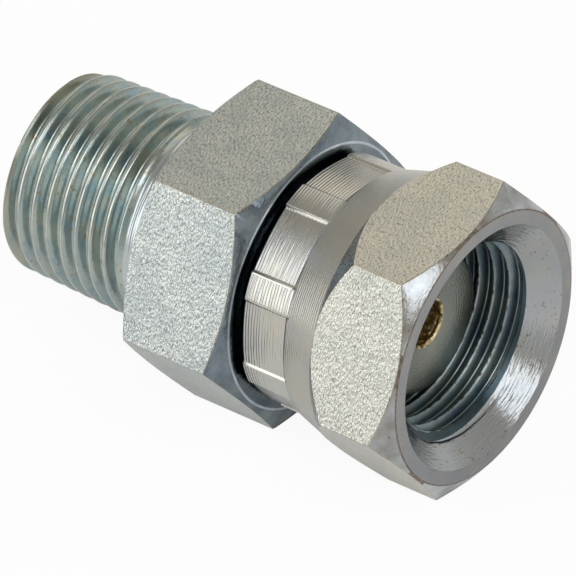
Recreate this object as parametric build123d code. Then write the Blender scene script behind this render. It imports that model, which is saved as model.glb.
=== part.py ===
from build123d import *
from math import radians, sqrt, tan
import os

# Swivel adapter: a taper pipe thread on one end of a hexagon body, and a captive hexagon
# nut with a parallel pipe thread that turns freely on the other end.
# Millimetres. +X runs along the common axis towards the nut's mouth, +Z is up, and the
# origin is on the axis at the body hexagon's shoulder on the pipe side.

# Both pieces are turned from the same hexagon bar, 1-1/8 in across the flats
HEX_FLATS = 28.575
BODY_HEX_LENGTH = 12.3
NUT_HEX_LENGTH = 10.15

# Turned ends of the body hexagon, the angle from its end faces
BODY_RIM_INSET = 0.5875
BODY_CHAMFER_ANGLE = 25.0

# Male taper pipe thread, as the cone over its crests, with a lead-in and a plain run-out band
PIPE_CREST_DIAMETER = 20.72
PIPE_TAPER = 1 / 16
PIPE_LENGTH = 19.2
PIPE_LEAD_DEPTH = 1.5
PIPE_LEAD_LENGTH = 0.95
PIPE_RUNOUT_LENGTH = 3.2
PIPE_RUNOUT_STEP = 0.3

# Flow passage: drilled from the pipe end, then a small hole through the nose
BORE_DIAMETER = 12.0
BORE_MOUTH_CHAMFER = 0.6
BORE_STOP_FROM_TIP = 9.0
DRILL_POINT_ANGLE = 118.0
ORIFICE_DIAMETER = 4.6

# Retaining flange that the nut's tail is pressed behind, and the step down to the neck
NUT_WALL = 2.2575
FLANGE_STEP = 1.35
FLANGE_LAND = 2.9
FLANGE_EDGE = 0.3

# Seat nose inside the nut: a 60 degree cone with a dished tip
SHOULDER_WIDTH = 3.25
SEAT_ANGLE = 30.0
SEAT_WIDTH = 1.6
NOSE_TIP_DEPTH = 6.55
NOSE_TIP_RING = 0.55
NOSE_DISH_DEPTH = 0.3

# Play between the body and the nut
FLANGE_CLEARANCE = 0.08
END_FLOAT = 0.15
THROAT_CLEARANCE = 0.4
TAIL_GAP = 0.65

# Nut tail and the collar that flares from it to the hexagon
TAIL_WALL = 0.97
TAIL_STRAIGHT = 5.15
COLLAR_LENGTH = 4.35
LIP_LENGTH = 4.6
LIP_ANGLE = 45.0

# Marks of the pressing tool: eight wide shallow facets with narrow lands between them
JAW_COUNT = 8
JAW_FACE_RADIUS = 20.0
JAW_DEPTH = 0.45
JAW_LENGTH = 5.25
JAW_END_RAMP = 0.35
LAND_ANGLE = 12.5
LAND_CLOCKING = 98.35

# Nut hexagon edges, angles from the end face
NUT_REAR_ANGLE = 52.0
NUT_FRONT_ANGLE = 35.0

# Nut mouth: flat ring, countersink (half angle), threaded wall at the crests, relief behind it
MOUTH_RING_INSET = 0.2475
MOUTH_RING_WIDTH = 1.49
COUNTERSINK_ANGLE = 47.0
NOSE_CLEARANCE = 0.8
RELIEF_DEPTH = 1.0
THREAD_FROM_TIP = 0.15

# Diameters and places along the axis that follow from the sizes
nut_bore_diameter = HEX_FLATS - 2 * NUT_WALL
flange_diameter = nut_bore_diameter - 2 * FLANGE_CLEARANCE
neck_diameter = flange_diameter - 2 * FLANGE_STEP
throat_diameter = neck_diameter + 2 * THROAT_CLEARANCE
tail_diameter = nut_bore_diameter + 2 * TAIL_WALL
nose_diameter = flange_diameter - 2 * SHOULDER_WIDTH
nose_tip_diameter = nose_diameter - 2 * SEAT_WIDTH
thread_minor_diameter = nose_diameter + 2 * NOSE_CLEARANCE
relief_diameter = thread_minor_diameter + 2 * RELIEF_DEPTH
mouth_ring_diameter = HEX_FLATS - 2 * MOUTH_RING_INSET
countersink_diameter = mouth_ring_diameter - 2 * MOUTH_RING_WIDTH
lip_run = 1 / tan(radians(LIP_ANGLE))
tail_x = BODY_HEX_LENGTH + TAIL_GAP
lip_x = tail_x + LIP_LENGTH
lip_end_x = lip_x + (nut_bore_diameter - throat_diameter) / 2 * lip_run
neck_end_x = lip_x + END_FLOAT - THROAT_CLEARANCE * lip_run
flange_rear_x = neck_end_x + FLANGE_STEP * lip_run
flange_front_x = flange_rear_x + FLANGE_LAND
shoulder_x = flange_front_x + END_FLOAT
hex_rear_x = tail_x + TAIL_STRAIGHT + COLLAR_LENGTH
mouth_x = hex_rear_x + NUT_HEX_LENGTH
tip_x = mouth_x - NOSE_TIP_DEPTH
thread_x = tip_x + THREAD_FROM_TIP
corner_radius = HEX_FLATS / sqrt(3)


def turned(points):
    """Solid turned about the axis from (x, radius) points of its half section."""
    outline = Polyline(*points, close=True)
    return revolve(Plane.XZ * make_face(outline), Axis.X)


def hexagon_bar(start, end):
    """Hexagon bar along the axis, lying on one flat."""
    section = Plane.YZ.offset(start) * RegularPolygon(corner_radius, 6)
    return extrude(section, end - start)


def crest_radius(x):
    """Radius over the crests of the taper thread at x."""
    return (PIPE_CREST_DIAMETER + (x + PIPE_LENGTH) * PIPE_TAPER) / 2


# Body: one turned piece, from the pipe end along the outside and back through the bore
body_rim_radius = HEX_FLATS / 2 - BODY_RIM_INSET
body_chamfer = (corner_radius - body_rim_radius) * tan(radians(BODY_CHAMFER_ANGLE))
lead_end_x = PIPE_LEAD_LENGTH - PIPE_LENGTH
runout_radius = crest_radius(-PIPE_RUNOUT_LENGTH) - PIPE_RUNOUT_STEP
seat_x = tip_x - SEAT_WIDTH / tan(radians(SEAT_ANGLE))
dish_radius = nose_tip_diameter / 2 - NOSE_TIP_RING
bore_end_x = tip_x - BORE_STOP_FROM_TIP
drill_run = 1 / tan(radians(DRILL_POINT_ANGLE / 2))
drill_point_x = bore_end_x + (BORE_DIAMETER - ORIFICE_DIAMETER) / 2 * drill_run

body_section = [
    (-PIPE_LENGTH, crest_radius(-PIPE_LENGTH) - PIPE_LEAD_DEPTH),
    (lead_end_x, crest_radius(lead_end_x)),
    (-PIPE_RUNOUT_LENGTH, crest_radius(-PIPE_RUNOUT_LENGTH)),
    (-PIPE_RUNOUT_LENGTH, runout_radius),
    (0, runout_radius),
    (0, body_rim_radius),
    (body_chamfer, corner_radius),
    (BODY_HEX_LENGTH - body_chamfer, corner_radius),
    (BODY_HEX_LENGTH, body_rim_radius),
    (BODY_HEX_LENGTH, neck_diameter / 2),
    (neck_end_x, neck_diameter / 2),
    (flange_rear_x, flange_diameter / 2),
    (flange_front_x - FLANGE_EDGE, flange_diameter / 2),
    (flange_front_x, flange_diameter / 2 - FLANGE_EDGE),
    (flange_front_x, nose_diameter / 2),
    (seat_x, nose_diameter / 2),
    (tip_x, nose_tip_diameter / 2),
    (tip_x, dish_radius),
    (tip_x - NOSE_DISH_DEPTH, ORIFICE_DIAMETER / 2),
    (drill_point_x, ORIFICE_DIAMETER / 2),
    (bore_end_x, BORE_DIAMETER / 2),
    (BORE_MOUTH_CHAMFER - PIPE_LENGTH, BORE_DIAMETER / 2),
    (-PIPE_LENGTH, BORE_DIAMETER / 2 + BORE_MOUTH_CHAMFER),
]
adapter_body = turned(body_section) & hexagon_bar(-PIPE_LENGTH, tip_x)

# Nut: one turned piece, from the tail along the outside and back through the mouth
rear_corner_x = hex_rear_x + (corner_radius - HEX_FLATS / 2) * tan(radians(NUT_REAR_ANGLE))
front_corner_x = mouth_x - (corner_radius - mouth_ring_diameter / 2) * tan(radians(NUT_FRONT_ANGLE))
countersink_depth = (countersink_diameter - thread_minor_diameter) / 2 / tan(radians(COUNTERSINK_ANGLE))

nut_section = [
    (tail_x, throat_diameter / 2),
    (tail_x, tail_diameter / 2),
    (tail_x + TAIL_STRAIGHT, tail_diameter / 2),
    (hex_rear_x, HEX_FLATS / 2),
    (rear_corner_x, corner_radius),
    (front_corner_x, corner_radius),
    (mouth_x, mouth_ring_diameter / 2),
    (mouth_x, countersink_diameter / 2),
    (mouth_x - countersink_depth, thread_minor_diameter / 2),
    (thread_x, thread_minor_diameter / 2),
    (thread_x, relief_diameter / 2),
    (shoulder_x, relief_diameter / 2),
    (shoulder_x, nut_bore_diameter / 2),
    (lip_end_x, nut_bore_diameter / 2),
    (lip_x, throat_diameter / 2),
]
swivel_nut = turned(nut_section) & hexagon_bar(tail_x, mouth_x)

# One jaw of the pressing tool: what lies outside its hollow face, within its own sector
jaw_pitch = 360 / JAW_COUNT
jaw_half = radians((jaw_pitch - LAND_ANGLE) / 2)
jaw_reach = corner_radius
jaw_sector = make_face(
    Polyline((0, 0), (jaw_reach, -jaw_reach * tan(jaw_half)), (jaw_reach, jaw_reach * tan(jaw_half)), close=True)
)
jaw_floor = tail_diameter / 2 - JAW_DEPTH
jaw_face = Pos(jaw_floor - JAW_FACE_RADIUS, 0) * Circle(JAW_FACE_RADIUS)
jaw = extrude(Plane.YZ.offset(tail_x) * (jaw_sector - jaw_face), JAW_LENGTH)
jaw_end_edge = jaw.edges().filter_by(GeomType.CIRCLE).sort_by(Axis.X)[-1]
jaw = chamfer(jaw_end_edge, JAW_END_RAMP)

# The eight facets pressed into the tail, clocked by the middle of a land from +Y towards +Z
first_facet = LAND_CLOCKING + jaw_pitch / 2
for index in range(JAW_COUNT):
    swivel_nut -= Rot(X=first_facet + index * jaw_pitch) * jaw

os.makedirs("parts", exist_ok=True)
export_step(adapter_body, "parts/adapter_body.step")
export_step(swivel_nut, "parts/swivel_nut.step")
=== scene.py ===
"""Looks of the swivel adapter: a hexagon body with a taper pipe thread, and a captive hexagon nut.

Sizes in the classes are millimetres along the part's own axis, +X towards the nut's mouth.
Meshes are built in millimetres and scaled to metres once they are whole.
"""

import logging
from dataclasses import dataclass
from enum import Enum, IntEnum
from math import atan2, cos, degrees, hypot, pi, radians, sin, sqrt, tan
from typing import Callable

import bmesh
import bpy
from mathutils import Matrix, Vector


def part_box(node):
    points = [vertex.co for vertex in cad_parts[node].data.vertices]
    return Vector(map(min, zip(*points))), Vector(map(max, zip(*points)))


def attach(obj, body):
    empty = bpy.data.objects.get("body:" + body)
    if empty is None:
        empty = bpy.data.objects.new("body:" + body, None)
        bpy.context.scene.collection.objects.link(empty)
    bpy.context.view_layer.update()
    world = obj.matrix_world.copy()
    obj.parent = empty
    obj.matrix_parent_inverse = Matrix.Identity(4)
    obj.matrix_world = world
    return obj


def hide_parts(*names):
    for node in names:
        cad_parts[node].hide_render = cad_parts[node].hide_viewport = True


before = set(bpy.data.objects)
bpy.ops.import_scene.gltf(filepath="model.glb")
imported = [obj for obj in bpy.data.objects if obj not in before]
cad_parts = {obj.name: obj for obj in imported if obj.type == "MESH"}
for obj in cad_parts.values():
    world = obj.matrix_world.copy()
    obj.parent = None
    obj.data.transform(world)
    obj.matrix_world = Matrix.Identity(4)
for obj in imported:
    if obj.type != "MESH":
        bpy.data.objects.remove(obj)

logging.basicConfig(level=logging.INFO, format="%(message)s")
log = logging.getLogger("swivel_adapter")

METRES = 0.001

# Millimetres within which a cut finds its plane, and within which two points are one place
CUT_TOLERANCE = 1e-4
SAME_PLACE = 1e-3

# Degrees from one flat of a hexagon to the next
HEX_TURN = 60

# The bevel leaves small openings where flats and corners meet, with up to this many sides
OPENING_SIDES = 12

# How a corner or an edge is rounded: by its distance back, to a circle, in its neighbours' material
ROUNDED = {"offset_type": "OFFSET", "profile": 0.5, "material": -1}

# Turns of a thread past both ends of its wall, which are cut off again
SPARE_TURNS = 4

# An edge that turns by more than this stays sharp, and large faces lead the shading beside it
SHARP_ANGLE = radians(35)
LARGE_FACES_LEAD = 80

# Noise values between which a patch of tint or a stain fades in, and how stains spread
PATCH_LIMITS = (0.35, 0.65)
STAIN_RAREST = 0.72
STAIN_SPREAD = 0.3
STAIN_SOFTNESS = 0.06

# Specks in the plating are twice as long round the axis as along it
STAIN_DRAW = 0.5

BMesh = bmesh.types.BMesh
Tree = bpy.types.NodeTree
Socket = bpy.types.NodeSocket
Pair = tuple[float, float]
Profile = list[Pair]
Triple = tuple[float, float, float]
Colour = tuple[float, float, float, float] | Socket


class Cut(IntEnum):
    """What shaped a face while a blank is cut: every face is turned until a cut makes it."""

    TURNED = 0
    FLAT = 1
    EDGE = 2


class Zone(Enum):
    """Places on the two pieces whose surface was made in the same way."""

    BODY_FLAT = "zinc_plated_drawn_body_flat"
    NUT_FLAT = "zinc_plated_drawn_nut_flat"
    EDGE = "worn_zinc_on_cut_edge"
    BODY_CHAMFER = "turned_chamfer_zinc_with_painted_dark_reflection"
    RIM = "turned_rim_zinc_with_painted_highlight"
    CHAMFER = "zinc_plated_turned_chamfer"
    PIPE_THREAD = "zinc_plated_cut_pipe_thread"
    PIPE_CREST = "pipe_crest_zinc_with_painted_highlight"
    RUNOUT = "zinc_plated_turned_runout"
    TAIL = "zinc_plated_pressed_tail"
    STEP = "zinc_plated_jaw_step"
    COLLAR = "zinc_plated_turned_collar"
    RING = "zinc_plated_faced_ring"
    RING_EDGE = "stained_zinc_on_ring_edge"
    COUNTERSINK = "zinc_plated_bored_countersink"
    NUT_THREAD = "tapped_flank_zinc_with_painted_shade"
    NUT_CREST = "tapped_crest_zinc_with_painted_highlight"
    LAST_GROOVE = "last_groove_zinc_with_painted_shade"
    NOSE = "zinc_plated_faced_nose"
    HOLE = "straw_zinc_in_drilled_hole"
    BORE = "zinc_plated_drilled_bore"


def linear(code: str) -> tuple[float, float, float, float]:
    """Turns an sRGB colour into linear light.

    Args:
        code: the colour as six hexadecimal digits.

    Returns:
        Red, green and blue in linear light, with an alpha of 1.
    """
    parts = [int(code[i : i + 2], 16) / 255 for i in (0, 2, 4)]
    red, green, blue = (c / 12.92 if c <= 0.04045 else ((c + 0.055) / 1.055) ** 2.4 for c in parts)
    return red, green, blue, 1.0


# Mesh steps that both pieces use


def reach_of(node: str) -> Triple:
    """Reads from the frame where a node starts and ends along the axis, and how far up it goes."""
    lowest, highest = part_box(node)
    return tuple(round(side / METRES, 4) for side in (lowest.x, highest.x, highest.z))


def start_profile(bm: BMesh, points: Profile) -> None:
    """Draws a half section as an open chain of edges in the XZ plane.

    Args:
        bm: the mesh to draw in.
        points: (x, radius) along the section.
    """
    verts = [bm.verts.new((x, 0.0, radius)) for x, radius in points]
    for pair in zip(verts, verts[1:]):
        bm.edges.new(pair)


def ease_corner(bm: BMesh, place: Pair, size: float, steps: int = 3) -> None:
    """Rounds one corner of a half section.

    Args:
        bm: the section's mesh.
        place: (x, radius) of the corner.
        size: how far back from the corner the rounding starts.
        steps: how many segments round it.
    """
    corner = min(bm.verts, key=lambda v: hypot(v.co.x - place[0], v.co.z - place[1]))
    bmesh.ops.bevel(bm, geom=[corner], offset=size, segments=steps, affect="VERTICES", **ROUNDED)


def spin_round(bm: BMesh, steps: int, clocking: float = 0.0, advance: float = 0.0) -> None:
    """Turns the section in a mesh once round the part's axis, and closes the turn if it is flat.

    Args:
        bm: the section's mesh.
        steps: how many columns the full turn has.
        clocking: angle in degrees from +Z at which the first column stands.
        advance: how far each column moves on along the axis.
    """
    bmesh.ops.rotate(bm, verts=bm.verts, cent=(0, 0, 0), matrix=Matrix.Rotation(radians(clocking), 3, "X"))
    bmesh.ops.spin(
        bm,
        geom=bm.verts[:] + bm.edges[:],
        cent=(0, 0, 0),
        axis=(1, 0, 0),
        dvec=(advance, 0, 0),
        angle=2 * pi,
        steps=steps,
        use_merge=not advance,
        use_duplicate=False,
    )


def open_rims(bm: BMesh, on_plane: Callable[[Vector], bool]) -> list[bmesh.types.BMEdge]:
    """Finds the open edges of a mesh whose two ends both lie in a plane."""
    open_edges = [edge for edge in bm.edges if edge.is_boundary]
    return [edge for edge in open_edges if all(on_plane(vert.co) for vert in edge.verts)]


def slice_off(bm: BMesh, place: Vector, outward: Vector, kind: Cut | None = None) -> None:
    """Removes what lies outside a plane.

    Args:
        bm: the mesh to cut.
        place: a point on the plane.
        outward: the side that is removed.
        kind: what the faces that close the cut are, or None to leave it open.
    """
    bmesh.ops.bisect_plane(
        bm,
        geom=bm.verts[:] + bm.edges[:] + bm.faces[:],
        dist=CUT_TOLERANCE,
        plane_co=place,
        plane_no=outward,
        clear_outer=True,
    )
    if kind is None:
        return
    rim = open_rims(bm, lambda point: abs((point - place).dot(outward)) < SAME_PLACE)
    for face in bmesh.ops.holes_fill(bm, edges=rim, sides=0)["faces"]:
        face.material_index = kind


def cut_hexagon(bm: BMesh, flats: float, edge: float) -> None:
    """Planes six flats on a turned blank and dulls every edge that they make.

    Args:
        bm: the blank.
        flats: size across the flats.
        edge: width of the dulled edges.
    """
    corner = flats / sqrt(3) - edge / 2 / tan(radians(HEX_TURN))
    sides = [(turn + HEX_TURN / 2, flats / 2, Cut.FLAT) for turn in range(0, 360, HEX_TURN)]
    sides += [(turn, corner, Cut.EDGE) for turn in range(0, 360, HEX_TURN)]
    planes = []
    for turn, distance, kind in sides:
        outward = Vector((0, cos(radians(turn)), sin(radians(turn))))
        planes.append((outward, distance))
        slice_off(bm, outward * distance, outward, kind)
    cut = {face for face in bm.faces if face.material_index != Cut.TURNED}
    rims = [edge for edge in bm.edges if len(set(edge.link_faces) & cut) == 1]
    made = bmesh.ops.bevel(
        bm, geom=rims, offset=edge / 2, segments=2, affect="EDGES", clamp_overlap=False, **ROUNDED
    )
    closed = bmesh.ops.holes_fill(bm, edges=bm.edges[:], sides=OPENING_SIDES)
    for face in made["faces"] + closed["faces"]:
        face.material_index = Cut.EDGE
    for vert in bm.verts:
        for outward, distance in planes:
            vert.co -= outward * max(vert.co.dot(outward) - distance, 0.0)


@dataclass(frozen=True)
class ThreadForm:
    """One pitch of a thread: flat crest and root with eased corners, and straight flanks.

    Args:
        pitch: from one crest to the next.
        crest: width of the crest before its corners are eased.
        root: width of the root before its corners are eased.
        flank: angle of a flank from the cross section, in degrees.
        ease: how far back from a corner its rounding starts.
        finest: about how wide a strip of the swept sheet is.
    """

    pitch: float
    crest: float
    root: float
    flank: float = 30.0
    ease: float = 0.1
    finest: float = 0.3

    @property
    def depth(self) -> float:
        """Height from root to crest."""
        return (self.pitch - self.crest - self.root) / 2 / tan(radians(self.flank))

    def corners(self) -> Profile:
        """Works out the corners of the section, with the crest in the middle.

        Returns:
            Each corner as its x and its height above the root.
        """
        foot = self.root / 2
        top = (self.pitch - self.crest) / 2
        return [(foot, 0.0), (top, self.depth), (self.pitch - top, self.depth), (self.pitch - foot, 0.0)]


def helical_sheet(form: ThreadForm, root_radius: float, ends: Pair, steps: int, clocking: float) -> BMesh:
    """Sweeps a thread's section along a right-hand helix that starts two turns before its wall.

    Args:
        form: the thread's section.
        root_radius: radius at which the section's root stands.
        ends: x at which the wall starts, and at which it ends.
        steps: columns in a turn.
        clocking: angle in degrees from +Z at which the section starts.

    Returns:
        A mesh with the sheet, its turns joined and cut off at both ends.
    """
    bm = bmesh.new()
    start = ends[0] - SPARE_TURNS / 2 * form.pitch
    corners = [(start + x, root_radius + height) for x, height in form.corners()]
    start_profile(bm, [(start, root_radius), *corners, (start + form.pitch, root_radius)])
    for corner in corners:
        ease_corner(bm, corner, form.ease, steps=2)
    for edge in bm.edges[:]:
        bmesh.ops.subdivide_edges(bm, edges=[edge], cuts=int(edge.calc_length() / form.finest))
    spin_round(bm, steps, clocking, form.pitch / steps)
    one_turn = bm.verts[:] + bm.edges[:] + bm.faces[:]
    for turn in range(1, int((ends[1] - ends[0]) / form.pitch) + SPARE_TURNS):
        copied = bmesh.ops.duplicate(bm, geom=one_turn)["geom"]
        moved = [part for part in copied if isinstance(part, bmesh.types.BMVert)]
        bmesh.ops.translate(bm, verts=moved, vec=(form.pitch * turn, 0, 0))
    bmesh.ops.remove_doubles(bm, verts=bm.verts, dist=SAME_PLACE)
    slice_off(bm, Vector((ends[0], 0, 0)), Vector((-1, 0, 0)))
    slice_off(bm, Vector((ends[1], 0, 0)), Vector((1, 0, 0)))
    return bm


def set_radius(bm: BMesh, rule: Callable[[float, float], float]) -> None:
    """Moves each vertex out or in to the radius that a rule gives.

    Args:
        bm: the mesh to change.
        rule: gives the new radius from x and the present radius.
    """
    for vert in bm.verts:
        now = hypot(vert.co.y, vert.co.z)
        factor = rule(vert.co.x, now) / now
        vert.co.y *= factor
        vert.co.z *= factor


def divide(bm: BMesh, x: float) -> None:
    """Cuts the faces of a sheet along the plane across the axis at x, and keeps both sides."""
    parts = bm.verts[:] + bm.edges[:] + bm.faces[:]
    bmesh.ops.bisect_plane(bm, geom=parts, dist=CUT_TOLERANCE, plane_co=(x, 0, 0), plane_no=(1, 0, 0))


def take_in(bm: BMesh, other: BMesh) -> None:
    """Adds another mesh's faces to a mesh.

    Args:
        bm: the mesh that takes them.
        other: the mesh that is used up.
    """
    carrier = bpy.data.meshes.new("carrier")
    other.to_mesh(carrier)
    other.free()
    bm.from_mesh(carrier)
    bpy.data.meshes.remove(carrier)


def bridge_at(bm: BMesh, x: float, zone: int) -> None:
    """Closes the ring between the two open rims that lie in one plane across the axis.

    Args:
        bm: the mesh.
        x: place of the plane.
        zone: material index of the ring.
    """
    rims = open_rims(bm, lambda point: abs(point.x - x) < 2 * SAME_PLACE)
    for face in bmesh.ops.bridge_loops(bm, edges=rims)["faces"]:
        face.material_index = zone


def put_in_scene(name: str, data: bpy.types.ID) -> bpy.types.Object:
    """Puts a new object in the scene.

    Args:
        name: name of the object.
        data: the mesh, lamp or camera that it shows.

    Returns:
        The object.
    """
    made = bpy.data.objects.new(name, data)
    bpy.context.scene.collection.objects.link(made)
    return made


def finish_mesh(bm: BMesh, name: str, body: str, node: str) -> bpy.types.Object:
    """Scales a whole mesh to metres and puts it in the scene in place of a node.

    Args:
        bm: the closed mesh, in millimetres.
        name: name of the piece.
        body: the body that it rides on.
        node: the node that it stands for.

    Returns:
        The new object.
    """
    open_edges = sum(not edge.is_manifold for edge in bm.edges)
    bmesh.ops.recalc_face_normals(bm, faces=bm.faces)
    bmesh.ops.scale(bm, vec=(METRES,) * 3, verts=bm.verts)
    mesh = bpy.data.meshes.new(name)
    flat = {index(Zone.BODY_FLAT), index(Zone.NUT_FLAT)}
    for face in bm.faces:
        face.smooth = face.material_index not in flat
    for edge in bm.edges:
        pressed = all(face.material_index == index(Zone.TAIL) for face in edge.link_faces)
        if edge.is_manifold and not pressed and edge.calc_face_angle(0.0) > SHARP_ANGLE:
            edge.smooth = False
    bm.to_mesh(mesh)
    bm.free()
    piece = put_in_scene(name, mesh)
    weighted = piece.modifiers.new("even_shading", "WEIGHTED_NORMAL")
    weighted.keep_sharp = True
    weighted.weight = LARGE_FACES_LEAD
    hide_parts(node)
    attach(piece, body)
    log.info("%s: %d faces, %d open edges", name, len(mesh.polygons), open_edges)
    return piece


# Finishes


def empty_tree(owner: bpy.types.Material | bpy.types.World) -> Tree:
    """Gives a material or a world an empty node tree.

    Args:
        owner: the material or the world.

    Returns:
        Its node tree.
    """
    owner.use_nodes = True
    owner.node_tree.nodes.clear()
    return owner.node_tree


def add_node(
    tree: Tree, kind: str, settings: dict | None = None, links: dict | None = None
) -> bpy.types.Node:
    """Adds one node with its settings and links.

    Args:
        tree: the node tree.
        kind: the node's type.
        settings: values by property or input name.
        links: sockets by input name.

    Returns:
        The new node.
    """
    node = tree.nodes.new(kind)
    for key, value in (settings or {}).items():
        if isinstance(key, str) and hasattr(node, key):
            setattr(node, key, value)
        else:
            node.inputs[key].default_value = value
    for key, socket in (links or {}).items():
        tree.links.new(socket, node.inputs[key])
    return node


def reckon(tree: Tree, operation: str, settings: dict | None = None, links: dict | None = None) -> Socket:
    """Adds one node that reckons with fixed numbers and sockets, and gives the result's socket."""
    return add_node(tree, "ShaderNodeMath", {"operation": operation} | (settings or {}), links).outputs[0]


class Pattern(Enum):
    """How the marks in a surface lie."""

    GRAIN = "soft hills"
    FEED = "regular turning lines along the axis"
    FACED = "regular turning rings on a face across the axis"


@dataclass(frozen=True)
class Marks:
    """One kind of mark that a tool or the bar left in the surface.

    Args:
        pattern: how the marks lie.
        width_mm: size of a mark across itself, or the feed of the turning lines.
        depth_mm: height from furrow to ridge.
        stretch: how many times longer a mark is round the axis than along it.
        waver: how far turning lines stray, in radians of their own wave.
    """

    pattern: Pattern
    width_mm: float
    depth_mm: float
    stretch: float = 1.0
    waver: float = 4.0

    def height(self, tree: Tree, place: Socket) -> Socket:
        """Builds the pattern of the marks.

        Args:
            tree: the node tree.
            place: Object coordinates.

        Returns:
            Height socket, from 0 in a furrow to 1 on a ridge.
        """
        longer = {"Scale": (1.0, 1 / self.stretch, 1 / self.stretch)}
        drawn = add_node(tree, "ShaderNodeMapping", longer, {"Vector": place})
        hills = {"Scale": 1 / (self.width_mm * METRES), "Detail": 1.5, "Roughness": 0.5}
        noise = add_node(tree, "ShaderNodeTexNoise", hills, {"Vector": drawn.outputs["Vector"]})
        if self.pattern is Pattern.GRAIN:
            return noise.outputs["Fac"]
        split = add_node(tree, "ShaderNodeSeparateXYZ", None, {"Vector": place})
        along = split.outputs["X"]
        if self.pattern is Pattern.FACED:
            across = {"Y": split.outputs["Y"], "Z": split.outputs["Z"]}
            spoke = add_node(tree, "ShaderNodeCombineXYZ", None, across)
            length = {"operation": "LENGTH"}
            reach = add_node(tree, "ShaderNodeVectorMath", length, {0: spoke.outputs["Vector"]})
            along = reach.outputs["Value"]
        shaken = reckon(tree, "MULTIPLY", {1: self.waver}, {0: noise.outputs["Fac"]})
        turns = {1: 2 * pi / (self.width_mm * METRES)}
        phase = reckon(tree, "MULTIPLY_ADD", turns, {0: along, 2: shaken})
        wave = reckon(tree, "SINE", None, {0: phase})
        return reckon(tree, "MULTIPLY_ADD", {1: 0.5, 2: 0.5}, {0: wave})


@dataclass(frozen=True)
class ZincFinish:
    """Bright zinc plating on steel, over the marks that the tool, the die or the bar left.

    The plating gives a bright grey metal. Its thin clear passivation adds faint blue and straw
    tints in soft patches, and the marks under it break up what it mirrors.

    Args:
        zone: where the finish lies.
        colour: the plating's own colour.
        tint: colour of the soft patches.
        roughness: how much the metal blurs what it mirrors.
        marks: what the tool, the die or the bar left.
        patch_mm: size of the soft patches.
        tint_share: how much of the tint a full patch shows.
        specks: colour and size of the specks of stain and how common they are, or None.
        end: colour of the worn end, and where along the axis it starts and is full, or None.
    """

    zone: Zone
    colour: str
    tint: str
    roughness: float
    marks: tuple[Marks, ...] = ()
    patch_mm: float = 4.0
    tint_share: float = 0.6
    specks: tuple[str, float, float] | None = None
    end: tuple[str, float, float] | None = None

    def material(self) -> bpy.types.Material:
        """Builds the material of this finish, patterned on Object coordinates.

        Returns:
            The new material.
        """
        made = bpy.data.materials.new(self.zone.value)
        tree = empty_tree(made)
        place = add_node(tree, "ShaderNodeTexCoord").outputs["Object"]
        shader = add_node(tree, "ShaderNodeBsdfPrincipled", {"Metallic": 1.0, "Roughness": self.roughness})
        normal = None
        for mark in self.marks:
            links = {"Height": mark.height(tree, place)} | ({"Normal": normal} if normal else {})
            depth = {"Strength": 1.0, "Distance": mark.depth_mm * METRES}
            normal = add_node(tree, "ShaderNodeBump", depth, links).outputs["Normal"]
        if normal:
            tree.links.new(normal, shader.inputs["Normal"])
        plain = linear(self.colour)
        colour = self.patches(tree, place, plain, self.tint, self.patch_mm, PATCH_LIMITS, self.tint_share)
        if self.specks:
            stain, size_mm, share = self.specks
            start = STAIN_RAREST - STAIN_SPREAD * share
            limits = (start, start + STAIN_SOFTNESS)
            longer = {"Scale": (1.0, STAIN_DRAW, STAIN_DRAW)}
            drawn = add_node(tree, "ShaderNodeMapping", longer, {"Vector": place}).outputs["Vector"]
            colour = self.patches(tree, drawn, colour, stain, size_mm, limits, 1.0)
        if self.end:
            colour = self.fade_to_end(tree, place, colour)
        tree.links.new(colour, shader.inputs["Base Color"])
        add_node(tree, "ShaderNodeOutputMaterial", None, {"Surface": shader.outputs["BSDF"]})
        return made

    def patches(
        self, tree: Tree, place: Socket, under: Colour, over: str, size_mm: float, limits: Pair, share: float
    ) -> Socket:
        """Lays soft patches of a second colour over a first.

        Args:
            tree: the node tree.
            place: Object coordinates.
            under: the first colour, a value or a socket.
            over: the second colour.
            size_mm: size of the patches.
            limits: noise values between which a patch fades in.
            share: how much of the second colour a full patch shows.

        Returns:
            The colour socket.
        """
        cloud = {"Scale": 1 / (size_mm * METRES), "Detail": 3.0, "Roughness": 0.6}
        noise = add_node(tree, "ShaderNodeTexNoise", cloud, {"Vector": place})
        fading = {"From Min": limits[0], "From Max": limits[1], "To Max": share}
        amount = add_node(tree, "ShaderNodeMapRange", fading, {"Value": noise.outputs["Fac"]})
        return self.blend(tree, amount.outputs["Result"], under, linear(over))

    def fade_to_end(self, tree: Tree, place: Socket, under: Socket) -> Socket:
        """Fades the colour along the axis to the colour of the worn end.

        Args:
            tree: the node tree.
            place: Object coordinates.
            under: the colour before the fade.

        Returns:
            The colour socket.
        """
        along = add_node(tree, "ShaderNodeSeparateXYZ", None, {"Vector": place}).outputs["X"]
        worn, first, last = self.end
        limits = {"interpolation_type": "SMOOTHSTEP", "From Min": first * METRES, "From Max": last * METRES}
        amount = add_node(tree, "ShaderNodeMapRange", limits, {"Value": along}).outputs["Result"]
        return self.blend(tree, amount, under, linear(worn))

    def blend(self, tree: Tree, amount: Socket, first: Colour, second: Colour) -> Socket:
        """Mixes two colours, each a value or a socket.

        Args:
            tree: the node tree.
            amount: socket that is 0 for the first colour and 1 for the second.
            first: the first colour.
            second: the second colour.

        Returns:
            The colour socket.
        """
        mix = add_node(tree, "ShaderNodeMix", {"data_type": "RGBA"}, {"Factor": amount})
        # A mix node keeps its two colours in sockets 6 and 7, and gives the mixed one in 2
        for socket, colour in ((6, first), (7, second)):
            if isinstance(colour, Socket):
                tree.links.new(colour, mix.inputs[socket])
            else:
                mix.inputs[socket].default_value = colour
        return mix.outputs[2]


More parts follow.
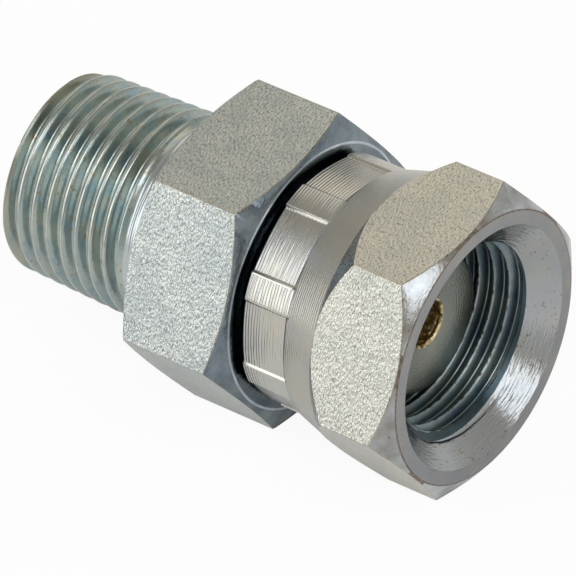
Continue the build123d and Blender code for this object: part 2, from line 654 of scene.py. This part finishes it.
def grain(width_mm: float, depth_mm: float, stretch: float = 1.0) -> tuple[Marks, ...]:
    """Soft hills of one size."""
    return (Marks(Pattern.GRAIN, width_mm, depth_mm, stretch),)


def feed(width_mm: float, depth_mm: float) -> tuple[Marks, ...]:
    """Turning lines round the axis, each running on for a long way."""
    return (Marks(Pattern.FEED, width_mm, depth_mm, stretch=8.0),)


def faced(width_mm: float, depth_mm: float, waver: float) -> tuple[Marks, ...]:
    """Turning rings on a face across the axis."""
    return (Marks(Pattern.FACED, width_mm, depth_mm, waver=waver),)


# The grain of drawn and turned bar is finer in life: it is drawn coarser so that it shows at all
BAR_GRAIN = grain(0.15, 0.065, stretch=2.4) + grain(0.5, 0.035)
TURNED_GRAIN = grain(0.16, 0.022, stretch=3.0)

# The pipe end is worn down to a straw colour from this place to this place
WORN_END = ("95896D", -16.9, -19.4)

# For each finish: its zone, colour, tint, roughness and marks, then what differs from the plain case
FINISHES = [
    # Cool grey flats of the drawn bar, speckled light and slate where the grain turns
    ZincFinish(Zone.BODY_FLAT, "C2C5C0", "A9B1B1", 0.24, BAR_GRAIN, specks=("949B9D", 0.17, 0.6)),
    # The nut's bar is a warmer grey, with the same speckle
    ZincFinish(Zone.NUT_FLAT, "CECBC1", "BEC0B9", 0.26, BAR_GRAIN, specks=("9E9F96", 0.17, 0.55)),
    # Knocked edges have lost some of their plating, so they show as an uneven brown line
    ZincFinish(
        Zone.EDGE, "B9B2A4", "A39684", 0.30, grain(0.25, 0.03), patch_mm=0.6,
        specks=("6E5F4C", 0.2, 0.5),
    ),
    # Smoothly turned and nearly a mirror, the chamfers go from pale blue to brown in patches
    ZincFinish(
        Zone.CHAMFER, "B9C0C4", "8E8883", 0.18, TURNED_GRAIN, tint_share=0.9,
        specks=("857B70", 0.3, 0.2),
    ),
    # The faced ring round the mouth looks flat and dull, with faint rings and brown specks
    ZincFinish(
        Zone.RING, "9D9C9A", "8F9299", 0.24, faced(0.3, 0.002, waver=8.0), patch_mm=3.0,
        tint_share=0.9, specks=("7B6C60", 0.2, 0.25),
    ),
    # Glossy flanks from teal to grey, and a straw-coloured end
    ZincFinish(
        Zone.PIPE_THREAD, "B2B8B0", "96ABB0", 0.24, grain(0.3, 0.015, stretch=2.5), patch_mm=2.2,
        tint_share=0.9, specks=("9C9278", 0.3, 0.35), end=WORN_END,
    ),
    # The crests are coloured paler than the flanks as a painted highlight, so each turn shows as a thin
    # cream line
    ZincFinish(
        Zone.PIPE_CREST, "D0CFC4", "A6A99F", 0.30, grain(0.25, 0.01, stretch=3.0), patch_mm=1.5,
        tint_share=0.9, end=WORN_END,
    ),
    # The chamfer beside the gap is coloured dark blue-black as a painted dark reflection, next to the bright
    # bar
    ZincFinish(Zone.BODY_CHAMFER, "8A949A", "626F7C", 0.16, TURNED_GRAIN, patch_mm=3.0, tint_share=0.9),
    # The rim is coloured pale blue-white as a painted highlight, which shows as a thin light line along the
    # gap
    ZincFinish(Zone.RIM, "D3DCE6", "93A2B2", 0.32, grain(0.2, 0.01, stretch=6.0), patch_mm=2.0),
    # The tool ran out here in fine rings, which break the highlight into streaks
    ZincFinish(Zone.RUNOUT, "C2C8C9", "AEB8BE", 0.22, feed(0.55, 0.05)),
    # Turning ridges round the pressed tail glint as fine bright lines
    ZincFinish(Zone.TAIL, "C6C2B8", "BCBFC0", 0.22, feed(0.33, 0.022), patch_mm=5.0),
    # The jaws wiped the ridges off here, which leaves one smooth bright line at each land
    ZincFinish(Zone.STEP, "CFCBC2", "C2BFB6", 0.22, grain(0.25, 0.01)),
    # Shallower ridges than the tail's give the collar a soft brushed look
    ZincFinish(Zone.COLLAR, "B8B4A9", "A6A9AD", 0.26, feed(0.27, 0.010), patch_mm=5.0),
    # Bare in places and stained, the ring's outer edge is a thin brown line
    ZincFinish(Zone.RING_EDGE, "6A5C52", "9C948C", 0.35, grain(0.2, 0.02), patch_mm=0.5),
    # Long fine scratches round the cone, drawn coarser than life, tear its glare into streaks
    ZincFinish(
        Zone.COUNTERSINK, "ADAFAF", "A3A9B1", 0.16, grain(0.13, 0.045, stretch=12.0),
        specks=("857D6C", 0.3, 0.3),
    ),
    # Slate-blue flanks, coloured darker than the outside thread as painted shade inside the nut
    ZincFinish(
        Zone.NUT_THREAD, "96A2A1", "72899A", 0.32, grain(0.3, 0.012, stretch=3.0), patch_mm=3.0,
        tint_share=0.9,
    ),
    # The last groove is coloured dark as painted shade, so a dark band parts thread and countersink
    ZincFinish(Zone.LAST_GROOVE, "45545A", "2C3A42", 0.25, grain(0.3, 0.01, stretch=4.0), patch_mm=3.0),
    # The inner crests are coloured paler than the shaded flanks as a painted highlight, with real brown
    # stain dots
    ZincFinish(
        Zone.NUT_CREST, "A9B0B0", "84908F", 0.34, grain(0.25, 0.03), tint_share=0.9,
        specks=("5A4E3C", 0.3, 0.6),
    ),
    # Grey with fine faced rings, which give the nose a soft fan of light
    ZincFinish(Zone.NOSE, "93948A", "7E8787", 0.24, faced(0.36, 0.005, waver=12.0), patch_mm=2.5),
    # The drill left a rough wall that the bath turned straw yellow, so it glitters gold
    ZincFinish(
        Zone.HOLE, "DCCBA0", "94794E", 0.30, grain(0.8, 0.5), patch_mm=0.7,
        specks=("3E3322", 0.3, 0.35),
    ),
    # Plain drilled bore with long faint marks round it
    ZincFinish(Zone.BORE, "A4A39C", "959995", 0.30, grain(0.25, 0.004, stretch=20.0)),
]
ZONES = [finish.zone for finish in FINISHES]


def dress(piece: bpy.types.Object) -> None:
    """Gives a piece the material of every zone, in the order of the finishes."""
    for finish in FINISHES:
        made = bpy.data.materials.get(finish.zone.value) or finish.material()
        piece.data.materials.append(made)


def index(zone: Zone) -> int:
    """Material index of a zone."""
    return ZONES.index(zone)


# The two pieces


# The bar's size, the pipe end, the nose's tip and the tail's rear come from the frame
BODY_START, BODY_END, BODY_TOP = reach_of("adapter_body")
NUT_START, _, NUT_TOP = reach_of("swivel_nut")

# How far a turned blank stands past the corners that the hexagon cuts off
BLANK_MARGIN = 0.5

# Both threads have 14 turns to the inch
PITCH = 25.4 / 14


class TurnedPiece:
    """What both pieces share: a shell and a threaded wall, built apart and then joined."""

    def build(self) -> bpy.types.Object:
        """Builds and dresses the whole piece.

        Returns:
            The piece that stands for its node.
        """
        bm = self.shell()
        cut = {Cut.FLAT: self.flat_zone, Cut.EDGE: Zone.EDGE}
        for face in bm.faces:
            zone = cut.get(face.material_index) or self.shell_zone(face.calc_center_median())
            face.material_index = index(zone)
        wall = self.threaded_wall()
        for face in wall.faces:
            middle = face.calc_center_median()
            face.material_index = index(self.wall_zone(middle.x, hypot(middle.y, middle.z)))
        take_in(bm, wall)
        for x, zone in self.rings():
            bridge_at(bm, x, index(zone))
        piece = finish_mesh(bm, *self.names)
        dress(piece)
        return piece


@dataclass
class AdapterBody(TurnedPiece):
    """Body turned from hexagon bar: pipe thread, hexagon, flange and seat nose.

    Places are along the axis from the hexagon's shoulder on the pipe side. An ease is how far
    back from a corner its rounding starts.
    """

    names: tuple[str, ...] = ("body_of_drawn_bar", "body", "adapter_body")
    flat_zone: Zone = Zone.BODY_FLAT
    flats: float = 2 * BODY_TOP
    hex_length: float = 12.3
    rim_radius: float = 13.7
    rim_ease: float = 0.13
    chamfer_angle: float = 25.0
    edge: float = 0.1
    shoulder_ease: float = 0.25
    pipe_length: float = -BODY_START
    crest_diameter: float = 20.72
    taper: float = 1 / 16
    lead_depth: float = 1.5
    lead_length: float = 0.95
    runout_length: float = 3.2
    runout_step: float = 0.3
    runout_fade: float = 0.9
    thread: ThreadForm = ThreadForm(PITCH, crest=0.4, root=0.3, ease=0.13)
    sweep_radius: float = 10.0
    crest_share: float = 0.012
    crest_at_side: float = -6.25
    wall_margin: float = 0.1
    bore_radius: float = 6.0
    bore_end: float = 17.05
    bore_chamfer: float = 0.6
    drill_half_angle: float = 59.0
    orifice_radius: float = 2.3
    orifice_ease: float = 0.3
    neck_radius: float = 10.6
    neck_end: float = 17.3
    flange_rear: float = 18.65
    flange_front: float = 21.55
    flange_radius: float = 11.95
    flange_ease: float = 0.3
    nose_radius: float = 8.7
    seat_angle: float = 30.0
    tip_radius: float = 7.1
    tip: float = BODY_END
    tip_ease: float = 0.08
    tip_ring: float = 0.55
    dish_depth: float = 0.3
    columns: int = 360

    def crest_radius(self, x: float) -> float:
        """Radius over the crests of the taper thread at x."""
        return (self.crest_diameter + (x + self.pipe_length) * self.taper) / 2

    def thread_radius(self, x: float, height: float) -> float:
        """Radius of the threaded surface, with its lead-in and its run-out.

        Args:
            x: place along the axis.
            height: height above the thread's root.

        Returns:
            The radius in millimetres.
        """
        band = self.crest_radius(-self.runout_length) - self.runout_step
        fade = min(max((x + self.runout_length + self.runout_fade) / self.runout_fade, 0.0), 1.0)
        cut = self.crest_radius(x) + (height - self.thread.depth) * (1 - fade)
        lead = self.crest_radius(-self.pipe_length) - self.lead_depth
        lead += (x + self.pipe_length) * self.lead_depth / self.lead_length
        return min(cut * (1 - fade) + band * fade, lead)

    def threaded_wall(self) -> BMesh:
        """Builds the threaded surface from the pipe end to the hexagon's shoulder.

        Returns:
            A sheet that is open at both ends.
        """
        first_crest = -self.pipe_length - (SPARE_TURNS - 1) / 2 * self.thread.pitch
        clocking = (first_crest - self.crest_at_side) / self.thread.pitch * 360 - 90
        bm = helical_sheet(self.thread, self.sweep_radius, (-self.pipe_length, 0.0), self.columns, clocking)
        divide(bm, -self.runout_length)
        set_radius(bm, lambda x, radius: self.thread_radius(x, radius - self.sweep_radius))
        return bm

    def shell(self) -> BMesh:
        """Builds everything but the threaded surface, open where the thread joins it.

        Returns:
            The shell with its hexagon cut.
        """
        corner = self.flats / sqrt(3) + BLANK_MARGIN
        chamfer = (corner - self.rim_radius) * tan(radians(self.chamfer_angle))
        drill_run = 1 / tan(radians(self.drill_half_angle))
        drill = self.bore_end + (self.bore_radius - self.orifice_radius) * drill_run
        seat = self.tip - (self.nose_radius - self.tip_radius) / tan(radians(self.seat_angle))
        lead_radius = self.crest_radius(-self.pipe_length) - self.lead_depth
        points = [
            (0, self.crest_radius(0) + self.wall_margin),
            (0, self.rim_radius),
            (chamfer, corner),
            (self.hex_length - chamfer, corner),
            (self.hex_length, self.rim_radius),
            (self.hex_length, self.neck_radius),
            (self.neck_end, self.neck_radius),
            (self.flange_rear, self.flange_radius),
            (self.flange_front, self.flange_radius),
            (self.flange_front, self.nose_radius),
            (seat, self.nose_radius),
            (self.tip, self.tip_radius),
            (self.tip, self.tip_radius - self.tip_ring),
            (self.tip - self.dish_depth, self.orifice_radius),
            (drill, self.orifice_radius),
            (self.bore_end, self.bore_radius),
            (self.bore_chamfer - self.pipe_length, self.bore_radius),
            (-self.pipe_length, self.bore_radius + self.bore_chamfer),
            (-self.pipe_length, lead_radius - self.wall_margin),
        ]
        bm = bmesh.new()
        start_profile(bm, points)
        ease_corner(bm, (self.hex_length, self.rim_radius), self.rim_ease)
        ease_corner(bm, (0, self.rim_radius), self.shoulder_ease)
        ease_corner(bm, (self.flange_front, self.flange_radius), self.flange_ease)
        ease_corner(bm, (self.tip, self.tip_radius), self.tip_ease)
        ease_corner(bm, (self.tip - self.dish_depth, self.orifice_radius), self.orifice_ease, steps=5)
        spin_round(bm, self.columns)
        cut_hexagon(bm, self.flats, self.edge)
        return bm

    def shell_zone(self, middle: Vector) -> Zone:
        """Says how a turned face of the shell was made, from where it is.

        Args:
            middle: the middle of the face.

        Returns:
            Its zone.
        """
        radius = hypot(middle.y, middle.z)
        if middle.x > self.flange_front and radius > self.orifice_radius + self.orifice_ease:
            return Zone.NOSE
        if radius < self.orifice_radius + self.orifice_ease:
            return Zone.HOLE
        if radius < self.bore_radius + self.wall_margin:
            return Zone.BORE
        if middle.x < self.hex_length / 2:
            return Zone.CHAMFER
        # Faces on the rounded rim get the pale painted highlight; the rest of the front chamfer gets the
        # painted dark reflection
        on_rim = middle.x > self.hex_length - self.rim_ease / 2 and radius > self.rim_radius - self.rim_ease
        return Zone.RIM if on_rim else Zone.BODY_CHAMFER

    def wall_zone(self, x: float, radius: float) -> Zone:
        """Says how a face of the threaded wall was made, from where it is.

        Args:
            x: place of its middle along the axis.
            radius: distance of its middle from the axis.

        Returns:
            Its zone.
        """
        if x > -self.runout_length:
            return Zone.RUNOUT
        past_lead = x > self.lead_length - self.pipe_length
        # A thin strip on top of each crest gets the pale painted highlight
        below_crest = self.crest_radius(x) - radius
        on_crest = past_lead and below_crest < self.crest_share * self.thread.depth
        return Zone.PIPE_CREST if on_crest else Zone.PIPE_THREAD

    def rings(self) -> list[tuple[float, Zone]]:
        """Places where the threaded wall meets the shell, and what the rings there are."""
        return [(0.0, Zone.CHAMFER), (-self.pipe_length, Zone.BORE)]


@dataclass
class SwivelNut(TurnedPiece):
    """Nut turned from hexagon bar, its tail pressed in behind the body's flange.

    Places are along the axis from the body hexagon's shoulder on the pipe side.
    """

    names: tuple[str, ...] = ("nut_of_drawn_bar", "nut", "swivel_nut")
    flat_zone: Zone = Zone.NUT_FLAT
    flats: float = 2 * NUT_TOP
    tail_rear: float = NUT_START
    tail_radius: float = 13.0
    tail_ease: float = 0.3
    tail_straight: float = 5.15
    collar_length: float = 4.35
    collar_step: float = 0.02
    collar_ease: float = 0.12
    hex_length: float = 10.15
    rear_angle: float = 52.0
    front_angle: float = 35.0
    ring_radius: float = 14.04
    ring_ease: float = 0.09
    edge: float = 0.1
    lip: float = 17.55
    throat_radius: float = 11.0
    throat_ease: float = 0.2
    bore_radius: float = 12.03
    shoulder: float = 21.7
    countersink_radius: float = 12.55
    countersink_angle: float = 47.0
    minor_radius: float = 9.5
    relief_radius: float = 10.5
    relief_end: float = 23.2
    relief_fade: float = 0.5
    thread: ThreadForm = ThreadForm(PITCH, crest=0.5, root=0.2, ease=0.09, finest=0.15)
    wall_margin: float = 0.15
    wall_columns: int = 360
    crest_share: float = 0.12
    jaw_count: int = 8
    jaw_radius: float = 20.0
    jaw_depth: float = 0.45
    jaw_length: float = 5.25
    jaw_ramp: float = 0.3
    land_angle: float = 12.5
    land_clocking: float = 98.35
    step_width: float = 1.2
    columns: int = 576

    @property
    def hex_rear(self) -> float:
        """Place where the collar meets the flats."""
        return self.tail_rear + self.tail_straight + self.collar_length

    @property
    def mouth(self) -> float:
        """Place of the front face."""
        return self.hex_rear + self.hex_length

    def thread_radius(self, x: float, radius: float) -> float:
        """Radius of the inner wall at x, between relief and countersink, from the plain thread's."""
        fade = min(max((self.relief_end - x) / self.relief_fade, 0.0), 1.0)
        return max(radius * (1 - fade) + self.relief_radius * fade, self.on_cone(x))

    def on_cone(self, x: float) -> float:
        """Radius of the countersink's cone at x."""
        return self.countersink_radius - (self.mouth - x) * tan(radians(self.countersink_angle))

    def threaded_wall(self) -> BMesh:
        """Builds the inner wall from the shoulder to the front face, with its thread.

        Returns:
            A sheet that is open at both ends.
        """
        ends = (self.shoulder, self.mouth)
        bm = helical_sheet(self.thread, self.minor_radius, ends, self.wall_columns, self.clocking)
        divide(bm, self.cone_start)
        set_radius(bm, self.thread_radius)
        return bm

    @property
    def cone_start(self) -> float:
        """Place where the countersink takes over from the thread, halfway down its groove."""
        half_depth = self.minor_radius + self.thread.depth / 2
        return self.mouth - (self.countersink_radius - half_depth) / tan(radians(self.countersink_angle))

    @property
    def clocking(self) -> float:
        """Angle of the first column from +Z, so that columns stand at the jaw marks' ends."""
        return self.land_clocking + self.land_angle / 2 - 90

    def on_collar(self, x: float) -> Pair:
        """Point on the collar's flare at x, with its radius."""
        slope = (self.flats / 2 - self.tail_radius) / self.collar_length
        return x, self.tail_radius + (x - self.tail_rear - self.tail_straight) * slope

    def off_nearest(self, place: Vector, first: float) -> float:
        """Measures how far round the axis a point is from the nearest of eight even places.

        Args:
            place: the point.
            first: angle in degrees from +Y of the first place.

        Returns:
            The angle in degrees from that place to the point.
        """
        period = 360 / self.jaw_count
        angle = degrees(atan2(place.z, place.y)) - first
        return (angle + period / 2) % period - period / 2

    def shell(self) -> BMesh:
        """Builds everything but the inner threaded wall, open where that joins it.

        Returns:
            The shell with its hexagon cut.
        """
        corner = self.flats / sqrt(3) + BLANK_MARGIN
        rear_corner = self.hex_rear + (corner - self.flats / 2) * tan(radians(self.rear_angle))
        front_corner = self.mouth - (corner - self.ring_radius) * tan(radians(self.front_angle))
        collar_end = (self.hex_rear, self.flats / 2 - self.collar_step)
        jaw_end = self.tail_rear + self.jaw_length
        points = [
            (self.mouth, self.countersink_radius + self.wall_margin),
            (self.mouth, self.ring_radius),
            (front_corner, corner),
            (rear_corner, corner),
            collar_end,
            self.on_collar(jaw_end + 2 * self.jaw_ramp),
            self.on_collar(jaw_end + self.jaw_ramp),
            self.on_collar(jaw_end),
            (jaw_end - self.jaw_ramp, self.tail_radius),
            (self.tail_rear, self.tail_radius),
            (self.tail_rear, self.throat_radius),
            (self.lip, self.throat_radius),
            (self.lip + self.bore_radius - self.throat_radius, self.bore_radius),
            (self.shoulder, self.bore_radius),
            (self.shoulder, self.relief_radius + self.wall_margin),
        ]
        bm = bmesh.new()
        start_profile(bm, points)
        ease_corner(bm, (self.mouth, self.ring_radius), self.ring_ease)
        ease_corner(bm, collar_end, self.collar_ease)
        ease_corner(bm, (self.tail_rear, self.tail_radius), self.tail_ease, steps=4)
        ease_corner(bm, (self.tail_rear, self.throat_radius), self.throat_ease)
        spin_round(bm, self.columns, self.clocking)
        cut_hexagon(bm, self.flats, self.edge)
        self.press_tail(bm)
        return bm

    def press_tail(self, bm: BMesh) -> None:
        """Presses the eight jaw marks into the tail, with a soft step at each side of a land.

        Args:
            bm: the nut's shell.
        """
        period = 360 / self.jaw_count
        facet_half = (period - self.land_angle) / 2
        centre = self.tail_radius - self.jaw_depth - self.jaw_radius
        jaw_end = self.tail_rear + self.jaw_length
        for vert in bm.verts:
            x, radius = vert.co.x, hypot(vert.co.y, vert.co.z)
            if x > jaw_end + self.jaw_ramp - SAME_PLACE or radius < self.bore_radius:
                continue
            off = self.off_nearest(vert.co, self.land_clocking + period / 2)
            # A quarter of the step lies on the land, and it starts and ends softly
            inside = (facet_half - abs(off) + self.step_width / 4) / self.step_width
            share = min(max(inside, 0.0), 1.0)
            share = share * share * (3 - 2 * share)
            turn = radians(off)
            face = centre * cos(turn) + sqrt(self.jaw_radius**2 - (centre * sin(turn)) ** 2)
            face += max(x - jaw_end, 0.0) * self.jaw_depth / self.jaw_ramp
            eased = max(self.tail_radius - radius, 0.0)
            pressed = min(radius, face - eased)
            factor = (radius + (pressed - radius) * share) / radius
            vert.co.y *= factor
            vert.co.z *= factor

    def shell_zone(self, middle: Vector) -> Zone:
        """Says how a turned face of the shell was made, from where it is.

        Args:
            middle: the middle of the face.

        Returns:
            Its zone.
        """
        radius = hypot(middle.y, middle.z)
        if middle.x > self.mouth - self.ring_ease * 1.5 and radius > self.ring_radius - self.ring_ease:
            return Zone.RING_EDGE
        if middle.x > self.mouth - CUT_TOLERANCE:
            return Zone.RING
        if middle.x > self.hex_rear or radius < self.bore_radius + self.wall_margin:
            return Zone.CHAMFER
        if middle.x > self.tail_rear + self.jaw_length + self.jaw_ramp:
            return Zone.COLLAR
        from_land = abs(self.off_nearest(middle, self.land_clocking))
        on_step = abs(from_land - self.land_angle / 2) < self.step_width / 2
        return Zone.STEP if on_step else Zone.TAIL

    def wall_zone(self, x: float, radius: float) -> Zone:
        """Says how a face of the threaded wall was made, from where it is.

        Args:
            x: place of its middle along the axis.
            radius: distance of its middle from the axis.

        Returns:
            Its zone.
        """
        if x > self.cone_start:
            return Zone.COUNTERSINK
        # The last groove, where the countersink cuts into the thread, gets the dark painted shade
        if self.on_cone(x) > self.minor_radius:
            return Zone.LAST_GROOVE
        # Inner crests get the paler painted highlight, and the flanks the darker painted shade
        on_crest = radius < self.minor_radius + self.crest_share * self.thread.depth
        return Zone.NUT_CREST if on_crest else Zone.NUT_THREAD

    def rings(self) -> list[tuple[float, Zone]]:
        """Places where the threaded wall meets the shell, and what the rings there are."""
        return [(self.mouth, Zone.RING), (self.shoulder, Zone.CHAMFER)]


# The studio


@dataclass
class Studio:
    """Pale floor, soft lamps and the camera at the photograph's angle.

    The camera's place is in millimetres and its view is the one fitted to the photograph. The
    floor shows the camera a share of plain white, and mirrors in the metal show a smaller one.
    """

    floor_radius: float = 6.0
    floor_sides: int = 96
    floor_height: float = -BODY_TOP
    floor_gap: float = 0.02
    floor_colour: str = "F6F6F6"
    sky_colour: str = "FFFCF3"
    camera_place: Triple = (491.493, -504.476, 638.571)
    camera_aim: Triple = (-0.50926, 0.53174, -0.67669)
    camera_up: Triple = (-0.3385, 0.59915, 0.72556)
    camera_share: float = 0.93
    mirrored_share: float = 0.15
    horizon_light: float = 0.66
    zenith_light: float = 0.32
    lens: float = 610.95
    sensor: float = 36.0
    nearest: float = 0.01
    farthest: float = 20.0

    def floor(self) -> None:
        """Lays the floor just under the part."""
        bm = bmesh.new()
        bmesh.ops.create_circle(bm, cap_ends=True, radius=self.floor_radius, segments=self.floor_sides)
        bmesh.ops.translate(bm, verts=bm.verts, vec=(0, 0, (self.floor_height - self.floor_gap) * METRES))
        mesh = bpy.data.meshes.new("floor")
        bm.to_mesh(mesh)
        bm.free()
        floor = put_in_scene("floor", mesh)
        made = bpy.data.materials.new("pale_floor")
        tree = empty_tree(made)
        matt = add_node(tree, "ShaderNodeBsdfDiffuse", {"Color": linear(self.floor_colour)})
        glow = add_node(tree, "ShaderNodeEmission", {"Color": linear("FFFFFF"), "Strength": 1.0})
        path = add_node(tree, "ShaderNodeLightPath")
        rays = {0: path.outputs["Is Glossy Ray"], 1: path.outputs["Is Transmission Ray"]}
        mirrored = reckon(tree, "MULTIPLY", {1: self.mirrored_share}, {0: reckon(tree, "ADD", None, rays)})
        seen = {0: path.outputs["Is Camera Ray"], 2: mirrored}
        shown = reckon(tree, "MULTIPLY_ADD", {1: self.camera_share}, seen)
        mixed = add_node(tree, "ShaderNodeMixShader", None, {0: shown})
        tree.links.new(matt.outputs[0], mixed.inputs[1])
        tree.links.new(glow.outputs[0], mixed.inputs[2])
        add_node(tree, "ShaderNodeOutputMaterial", None, {"Surface": mixed.outputs[0]})
        mesh.materials.append(made)

    def world(self) -> None:
        """Lights the room softly, brighter overhead than at the sides."""
        world = bpy.data.worlds.new("studio")
        bpy.context.scene.world = world
        tree = empty_tree(world)
        coordinates = add_node(tree, "ShaderNodeTexCoord").outputs["Generated"]
        split = add_node(tree, "ShaderNodeSeparateXYZ", None, {"Vector": coordinates})
        rising = {"From Max": 1.0, "To Min": self.horizon_light, "To Max": self.zenith_light}
        ramp = add_node(tree, "ShaderNodeMapRange", rising, {"Value": split.outputs["Z"]})
        shade = {"Color": linear(self.sky_colour)}
        back = add_node(tree, "ShaderNodeBackground", shade, {"Strength": ramp.outputs[0]})
        add_node(tree, "ShaderNodeOutputWorld", None, {"Surface": back.outputs[0]})

    def softbox(
        self, name: str, toward: Triple, distance: float, size: Pair, glow: float, colour: str = "FFFFFF"
    ) -> None:
        """Hangs one softbox that faces the part.

        Args:
            name: name of the lamp.
            toward: direction from the part to the lamp.
            distance: how far away it hangs, in metres.
            size: its width and height in metres.
            glow: brightness of its face, 1 being white.
            colour: colour of its face.
        """
        lamp = bpy.data.lights.new(name, "AREA")
        lamp.shape = "RECTANGLE"
        lamp.size, lamp.size_y = size
        lamp.energy = glow * pi * size[0] * size[1]
        lamp.color = linear(colour)[:3]
        hung = put_in_scene(name, lamp)
        direction = Vector(toward).normalized()
        hung.location = direction * distance
        hung.rotation_mode = "QUATERNION"
        hung.rotation_quaternion = direction.to_track_quat("Z", "Y")
        hung.visible_camera = False

    def camera(self) -> None:
        """Sets the camera where the photograph was taken from."""
        lens = bpy.data.cameras.new("camera")
        lens.lens = self.lens
        lens.sensor_width = self.sensor
        lens.clip_start = self.nearest
        lens.clip_end = self.farthest
        camera = put_in_scene("camera", lens)
        forward = Vector(self.camera_aim).normalized()
        up = Vector(self.camera_up).normalized()
        right = forward.cross(up)
        turned = Matrix((right, up, -forward)).transposed()
        camera.location = Vector(self.camera_place) * METRES
        camera.rotation_mode = "QUATERNION"
        camera.rotation_quaternion = turned.to_quaternion()
        bpy.context.scene.camera = camera

    def build(self) -> None:
        """Sets up the floor, the lights and the camera."""
        self.floor()
        self.world()
        self.softbox("left_softbox", (-0.53, -0.666, 0.524), 0.8, (0.5, 0.84), 1.6, "F4F9FF")
        self.softbox("right_softbox", (0.93, 0.03, 0.355), 0.9, (0.45, 0.42), 1.7, "F6FAFF")
        self.softbox("back_softbox", (-0.21, 0.53, 0.70), 0.42, (0.22, 0.3), 0.62, "FFF6E4")
        self.softbox("front_softbox", (0.40, -0.30, 0.87), 0.9, (0.55, 0.55), 2.6)
        self.camera()
        bpy.context.scene.view_settings.view_transform = "Standard"


def main() -> None:
    """Builds the studio and both pieces."""
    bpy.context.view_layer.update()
    Studio().build()
    for maker in (AdapterBody(), SwivelNut()):
        maker.build()


if __name__ == "__main__":
    main()
